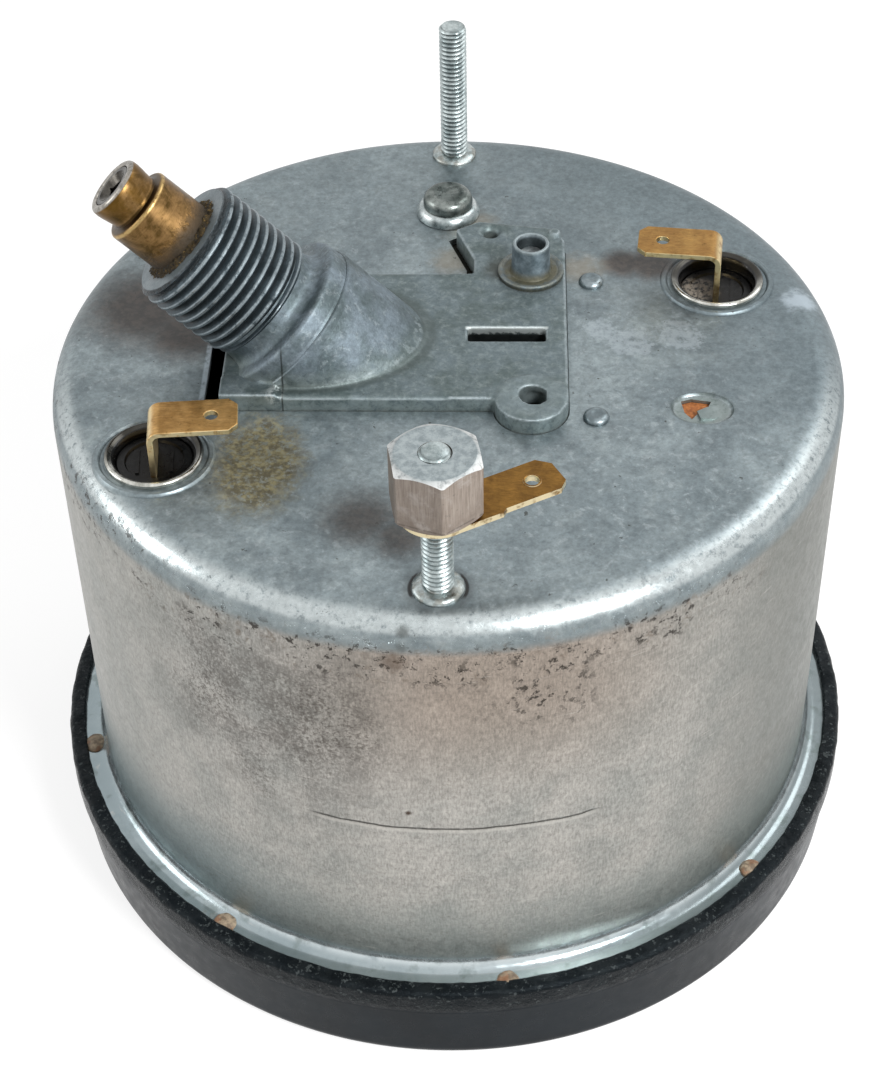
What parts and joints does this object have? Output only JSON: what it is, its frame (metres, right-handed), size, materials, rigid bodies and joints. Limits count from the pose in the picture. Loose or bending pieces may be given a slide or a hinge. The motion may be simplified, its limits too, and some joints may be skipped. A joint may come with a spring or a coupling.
{
  "type": "speedometer",
  "caption": "Round magnetic speedometer lying face down: sheet-metal can, black crimped bezel, tilted cable drive, trip reset, lamp holders and studs on its back; full movement inside.",
  "frame": {"origin": "centre of the bezel's front rim, on the surface it lies on", "axes": "+Z along the case axis from the dial's face to the back, +Y towards the far stud, the cable drive heading to -X"},
  "size_m": [0.1192, 0.1192, 0.1106],
  "materials": {
    "case_steel": "zinc-plated sheet, cloudy and stained",
    "bezel_black": "satin black paint, worn on the rolled lip",
    "rubber": "matt",
    "glass": "clear",
    "shroud_black": "matt black",
    "dial_black": "matt black with pale figures",
    "screw_steel": "dull zinc plating",
    "pointer_orange": "matt",
    "hub_black": "gloss",
    "shaft_steel": "ground",
    "cup_aluminium": "spun",
    "spring_bronze": "rolled strip",
    "bridge_steel": "sheet",
    "magnet_alloy": "ground",
    "ring_steel": "sheet",
    "gear_brass": "machined",
    "bush_bronze": "sintered",
    "cast_zinc": "die-cast, dull grey",
    "movement_zinc": "die-cast",
    "sleeve_brass": "tarnished",
    "drum_black": "matt with pale figures",
    "stud_zinc": "bright zinc",
    "nut_steel": "turned hexagon bar",
    "blade_brass": "rolled sheet",
    "shell_chrome": "bright plating",
    "insulator_black": "moulded",
    "bulb_glass": "clear bulb in a plated cap"
  },
  "bodies": {
    "case_body": {"case": "case_steel", "bezel": "bezel_black", "front_gasket": "rubber", "glass": "glass", "rear_gasket": "rubber", "shroud": "shroud_black", "dial": "dial_black", "dial_screws": "screw_steel", "stop_pin": "screw_steel", "hairspring": "spring_bronze", "pointer_bridge": "bridge_steel", "bridge_screws": "screw_steel", "rear_bush": "bush_bronze", "front_bush": "bush_bronze", "frame_casting": "cast_zinc", "movement_plate": "movement_zinc", "movement_screws": "screw_steel", "drive_sleeve": "sleeve_brass", "counter_shaft": "shaft_steel", "near_stud": "stud_zinc", "far_stud": "stud_zinc", "frame_rivets": "stud_zinc", "back_screw": "screw_steel", "back_washer": "stud_zinc"},
    "pointer_body": {"pointer": "pointer_orange", "pointer_hub": "hub_black", "pointer_staff": "shaft_steel", "speed_cup": "cup_aluminium"},
    "magnet_body": {"magnet_spindle": "shaft_steel", "magnet": "magnet_alloy", "flux_ring": "ring_steel", "magnet_gear": "gear_brass"},
    "input_body": {"input_spindle": "shaft_steel", "input_gear": "gear_brass"},
    "layshaft_body": {"layshaft": "shaft_steel", "layshaft_wheel": "gear_brass"},
    "trip_shaft_body": {"trip_shaft": "shaft_steel", "reset_wheel": "gear_brass"},
    "reset_body": {"reset_spindle": "shaft_steel"},
    "tag_body": {"earth_tag": "blade_brass"},
    "nut_body": {"earth_nut": "nut_steel"},
    "left_lamp_body": {"left_lamp_shell": "shell_chrome", "left_lamp_insulator": "insulator_black", "left_lamp_blade": "blade_brass", "left_lamp_bulb": "bulb_glass"},
    "right_lamp_body": {"right_lamp_shell": "shell_chrome", "right_lamp_insulator": "insulator_black", "right_lamp_blade": "blade_brass", "right_lamp_bulb": "bulb_glass"},
    "counter_drum_1_body": {"counter_drum_1": "drum_black"},
    "counter_drum_2_body": {"counter_drum_2": "drum_black"},
    "counter_drum_3_body": {"counter_drum_3": "drum_black"},
    "counter_drum_4_body": {"counter_drum_4": "drum_black"},
    "counter_drum_5_body": {"counter_drum_5": "drum_black"},
    "counter_drum_6_body": {"counter_drum_6": "drum_black"},
    "trip_drum_1_body": {"trip_drum_1": "drum_black"},
    "trip_drum_2_body": {"trip_drum_2": "drum_black"},
    "trip_drum_3_body": {"trip_drum_3": "drum_black"},
    "trip_drum_4_body": {"trip_drum_4": "drum_black"}
  },
  "joints": [
    {"name": "pointer_swing", "type": "hinge", "parent": "case_body", "child": "pointer_body", "pos_m": [0, 0, 0.012], "axis": [0, 0, 1], "range_deg": [0, 250], "stiffness_Nm_per_rad": 0.0001, "springref_deg": -8.59},
    {"name": "magnet_spin", "type": "hinge", "parent": "case_body", "child": "magnet_body", "pos_m": [0, 0, 0.05], "axis": [0, 0, 1], "continuous": true},
    {"name": "input_spin", "type": "hinge", "parent": "case_body", "child": "input_body", "pos_m": [-0.0346, 0, 0.09935], "axis": [-0.7009, 0, 0.7133], "continuous": true},
    {"name": "layshaft_spin", "type": "hinge", "parent": "case_body", "child": "layshaft_body", "pos_m": [-0.011, 0, 0.0331], "axis": [0, 1, 0], "continuous": true},
    {"name": "counter_drum_1_turn", "type": "hinge", "parent": "case_body", "child": "counter_drum_1_body", "pos_m": [-0.0097, -0.022, 0.0231], "axis": [1, 0, 0], "continuous": true},
    {"name": "counter_drum_2_turn", "type": "hinge", "parent": "case_body", "child": "counter_drum_2_body", "pos_m": [-0.0063, -0.022, 0.0231], "axis": [1, 0, 0], "continuous": true},
    {"name": "counter_drum_3_turn", "type": "hinge", "parent": "case_body", "child": "counter_drum_3_body", "pos_m": [-0.0029, -0.022, 0.0231], "axis": [1, 0, 0], "continuous": true},
    {"name": "counter_drum_4_turn", "type": "hinge", "parent": "case_body", "child": "counter_drum_4_body", "pos_m": [0.0005, -0.022, 0.0231], "axis": [1, 0, 0], "continuous": true},
    {"name": "counter_drum_5_turn", "type": "hinge", "parent": "case_body", "child": "counter_drum_5_body", "pos_m": [0.0039, -0.022, 0.0231], "axis": [1, 0, 0], "continuous": true},
    {"name": "counter_drum_6_turn", "type": "hinge", "parent": "case_body", "child": "counter_drum_6_body", "pos_m": [0.0073, -0.022, 0.0231], "axis": [1, 0, 0], "continuous": true},
    {"name": "trip_drum_1_turn", "type": "hinge", "parent": "case_body", "child": "trip_drum_1_body", "pos_m": [-0.0097, 0.022, 0.0231], "axis": [1, 0, 0], "continuous": true},
    {"name": "trip_drum_2_turn", "type": "hinge", "parent": "case_body", "child": "trip_drum_2_body", "pos_m": [-0.0053, 0.022, 0.0231], "axis": [1, 0, 0], "continuous": true},
    {"name": "trip_drum_3_turn", "type": "hinge", "parent": "case_body", "child": "trip_drum_3_body", "pos_m": [-0.0009, 0.022, 0.0231], "axis": [1, 0, 0], "continuous": true},
    {"name": "trip_drum_4_turn", "type": "hinge", "parent": "case_body", "child": "trip_drum_4_body", "pos_m": [0.0035, 0.022, 0.0231], "axis": [1, 0, 0], "continuous": true},
    {"name": "reset_turn", "type": "hinge", "parent": "case_body", "child": "reset_body", "pos_m": [0.0114, 0.0141, 0.086], "axis": [0, 0, 1], "continuous": true},
    {"name": "trip_shaft_turn", "type": "hinge", "parent": "case_body", "child": "trip_shaft_body", "pos_m": [0, 0.022, 0.0231], "axis": [1, 0, 0], "continuous": true},
    {"name": "tag_travel", "type": "slide", "parent": "case_body", "child": "tag_body", "axis": [0, 0, 1], "range_m": [-0.0105, 0.006]},
    {"name": "nut_turn", "type": "hinge", "parent": "tag_body", "child": "nut_body", "pos_m": [0, -0.0471, 0.0985], "axis": [0, 0, 1], "range_deg": [-5700, 3300]},
    {"name": "left_lamp_pull", "type": "slide", "parent": "case_body", "child": "left_lamp_body", "axis": [0, 0, 1], "range_m": [0, 0.028]},
    {"name": "right_lamp_pull", "type": "slide", "parent": "case_body", "child": "right_lamp_body", "axis": [0, 0, 1], "range_m": [0, 0.028]}
  ],
  "couplings": [
    {"joint": "input_spin", "follows": "magnet_spin", "ratio": -1},
    {"joint": "layshaft_spin", "follows": "magnet_spin", "ratio": 0.04},
    {"joint": "counter_drum_1_turn", "follows": "magnet_spin", "ratio": 0.001},
    {"joint": "counter_drum_2_turn", "follows": "magnet_spin", "ratio": 0.0001},
    {"joint": "counter_drum_3_turn", "follows": "magnet_spin", "ratio": 0.00001},
    {"joint": "counter_drum_4_turn", "follows": "magnet_spin", "ratio": 0.000001},
    {"joint": "counter_drum_5_turn", "follows": "magnet_spin", "ratio": 0.0000001},
    {"joint": "counter_drum_6_turn", "follows": "magnet_spin", "ratio": 0.00000001},
    {"joint": "trip_drum_1_turn", "follows": "magnet_spin", "ratio": 0.001},
    {"joint": "trip_drum_2_turn", "follows": "magnet_spin", "ratio": 0.0001},
    {"joint": "trip_drum_3_turn", "follows": "magnet_spin", "ratio": 0.00001},
    {"joint": "trip_drum_4_turn", "follows": "magnet_spin", "ratio": 0.000001},
    {"joint": "trip_shaft_turn", "follows": "reset_turn", "ratio": 0.045455},
    {"joint": "nut_turn", "follows": "tag_travel", "rad_per_m": 8976}
  ]
}
